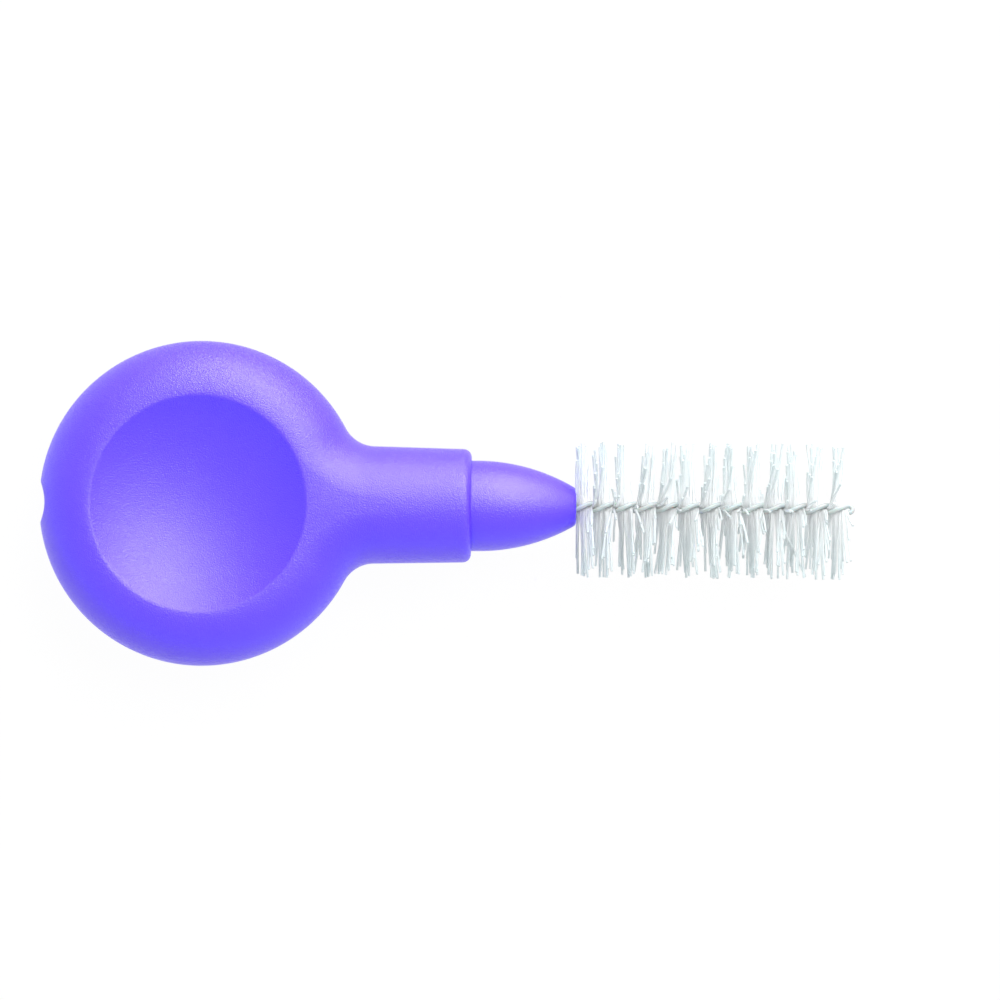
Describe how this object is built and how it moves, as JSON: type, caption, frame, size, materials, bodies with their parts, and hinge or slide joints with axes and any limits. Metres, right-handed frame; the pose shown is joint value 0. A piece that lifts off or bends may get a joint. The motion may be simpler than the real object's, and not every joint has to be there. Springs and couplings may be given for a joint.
{
  "type": "interdental brush",
  "caption": "Short interdental brush: a round finger disc with a dimple on both faces, a soft sleeve, a tapered nose and a cylindrical brush held in a twisted coated wire.",
  "frame": {"origin": "on the brush axis, in the plane where the nose comes out of the soft sleeve", "axes": "+X along the brush to its tip, +Z square to the finger disc, +Y across the disc"},
  "size_m": [0.0478, 0.019, 0.008],
  "materials": {
    "soft_grip": "satin violet elastomer, slightly translucent, with a fine moulded grain",
    "hard_core": "satin violet moulded plastic",
    "wire_steel": "drawn stainless wire",
    "wire_coat": "thin clear grey plastic coat",
    "filament": "translucent off-white nylon filament"
  },
  "bodies": {
    "root": {"grip": "soft_grip", "nose_core": "hard_core", "wire": "wire_steel", "wire_coating": "wire_coat", "bristles_01": "filament", "bristles_02": "filament", "bristles_03": "filament", "bristles_04": "filament", "bristles_05": "filament", "bristles_06": "filament", "bristles_07": "filament", "bristles_08": "filament", "bristles_09": "filament", "bristles_10": "filament", "bristles_11": "filament", "bristles_12": "filament", "bristles_13": "filament"}
  },
  "joints": []
}
